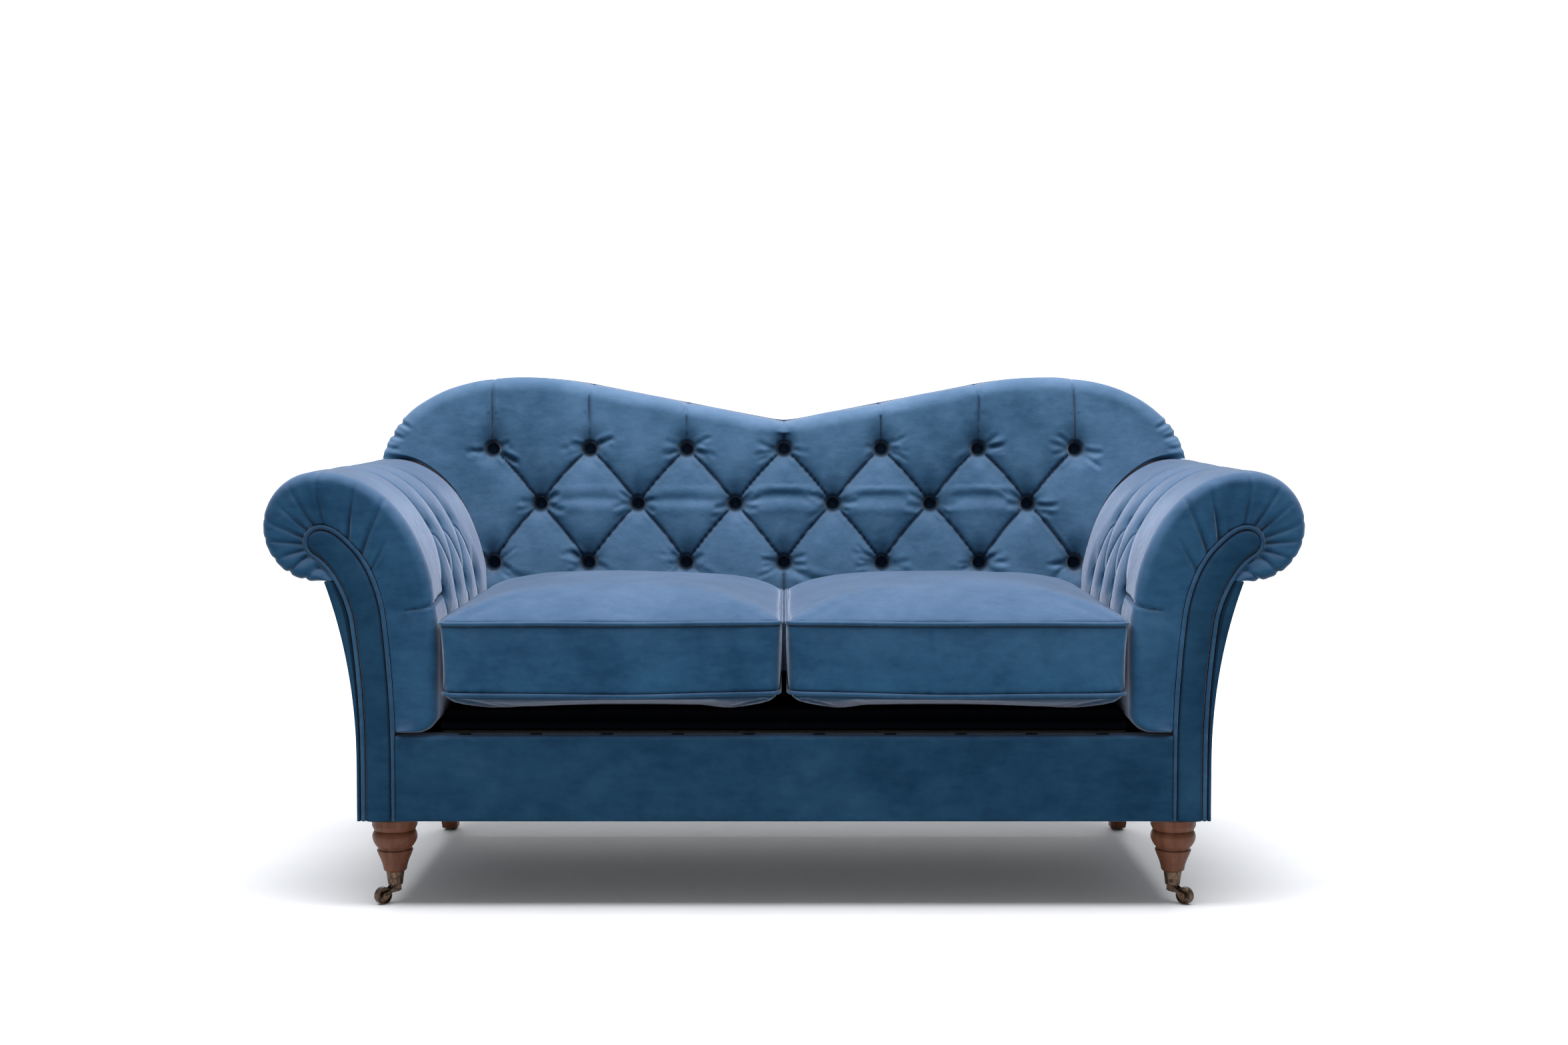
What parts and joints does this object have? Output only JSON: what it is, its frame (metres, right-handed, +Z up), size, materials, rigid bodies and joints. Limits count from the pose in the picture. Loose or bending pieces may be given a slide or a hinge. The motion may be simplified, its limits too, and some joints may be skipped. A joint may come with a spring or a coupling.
{
  "type": "button-backed two-seat sofa",
  "caption": "Camelback sofa with scroll arms, a deep-buttoned back, loose box cushions, turned front legs on casters and raked rear legs.",
  "frame": {"origin": "on the floor, under the middle of the sofa's box", "axes": "+X to the right as seen from the front, +Y to the back, +Z up"},
  "size_m": [1.79, 0.89, 0.923],
  "materials": {
    "velvet": "matte",
    "velvet_dark": "matte",
    "beech": "matte",
    "walnut_stain": "satin",
    "spring_steel": "satin",
    "zinc_steel": "satin",
    "black_steel": "satin",
    "bronze": "satin",
    "webbing": "matte",
    "hessian": "matte",
    "felt": "matte",
    "black_cloth": "matte",
    "zip_tape": "matte",
    "glide_plastic": "matte"
  },
  "bodies": {
    "sofa": {"arm_board_left": "beech", "arm_board_right": "beech", "arm_buttons": "velvet", "arm_front_panel_left": "velvet_dark", "arm_front_panel_right": "velvet_dark", "arm_pad_left": "velvet", "arm_pad_right": "velvet", "arm_piping": "velvet_dark", "arm_stuffing_rails": "beech", "arm_top_rails": "beech", "arm_webbing": "webbing", "back_buttons": "velvet", "back_pad": "velvet", "back_post_left": "beech", "back_post_right": "beech", "back_rail": "beech", "back_stuffing_rails": "beech", "back_top_rail": "beech", "back_upright": "beech", "back_webbing": "webbing", "caster_cup_left": "bronze", "caster_cup_right": "bronze", "caster_pivots": "zinc_steel", "centre_rail": "beech", "dust_cover": "black_cloth", "front_border": "velvet_dark", "front_leg_left": "walnut_stain", "front_leg_right": "walnut_stain", "front_rail": "beech", "leg_blocks": "beech", "leg_bolts": "zinc_steel", "leg_plates": "black_steel", "outside_arm_left": "velvet", "outside_arm_right": "velvet", "outside_back": "velvet", "rear_glides": "glide_plastic", "rear_leg_left": "walnut_stain", "rear_leg_right": "walnut_stain", "seat_deck": "felt", "seat_edge_roll": "hessian", "seat_springs": "spring_steel", "side_rail_left": "beech", "side_rail_right": "beech", "spring_clips": "zinc_steel", "spring_cloth": "hessian"},
    "cushion_left": {"seat_cushion_left": "velvet", "cushion_piping_left": "velvet", "cushion_zip_left": "zip_tape"},
    "cushion_right": {"seat_cushion_right": "velvet", "cushion_piping_right": "velvet", "cushion_zip_right": "zip_tape"},
    "zip_slider_left_body": {"zip_slider_left": "zinc_steel"},
    "zip_slider_right_body": {"zip_slider_right": "zinc_steel"},
    "caster_left": {"caster_horn_left": "bronze", "caster_axle_left": "bronze"},
    "caster_right": {"caster_horn_right": "bronze", "caster_axle_right": "bronze"},
    "wheel_left": {"caster_wheel_left": "bronze"},
    "wheel_right": {"caster_wheel_right": "bronze"}
  },
  "joints": [
    {"name": "seat_cushion_left_lift", "type": "slide", "parent": "sofa", "child": "cushion_left", "axis": [0, 0, 1], "range_m": [0, 0.6]},
    {"name": "zip_left_pull", "type": "slide", "parent": "cushion_left", "child": "zip_slider_left_body", "axis": [-1, 0, 0], "range_m": [0, 0.48]},
    {"name": "caster_left_swivel", "type": "hinge", "parent": "sofa", "child": "caster_left", "pos_m": [-0.681, -0.368, 0.03], "axis": [0, 0, 1], "continuous": true},
    {"name": "wheel_left_roll", "type": "hinge", "parent": "caster_left", "child": "wheel_left", "pos_m": [-0.69969, -0.38368, 0.015], "axis": [-0.6428, 0.766, 0], "continuous": true},
    {"name": "seat_cushion_right_lift", "type": "slide", "parent": "sofa", "child": "cushion_right", "axis": [0, 0, 1], "range_m": [0, 0.6]},
    {"name": "zip_right_pull", "type": "slide", "parent": "cushion_right", "child": "zip_slider_right_body", "axis": [1, 0, 0], "range_m": [0, 0.48]},
    {"name": "caster_right_swivel", "type": "hinge", "parent": "sofa", "child": "caster_right", "pos_m": [0.681, -0.368, 0.03], "axis": [0, 0, 1], "continuous": true},
    {"name": "wheel_right_roll", "type": "hinge", "parent": "caster_right", "child": "wheel_right", "pos_m": [0.69969, -0.38368, 0.015], "axis": [0.6428, 0.766, 0], "continuous": true}
  ]
}
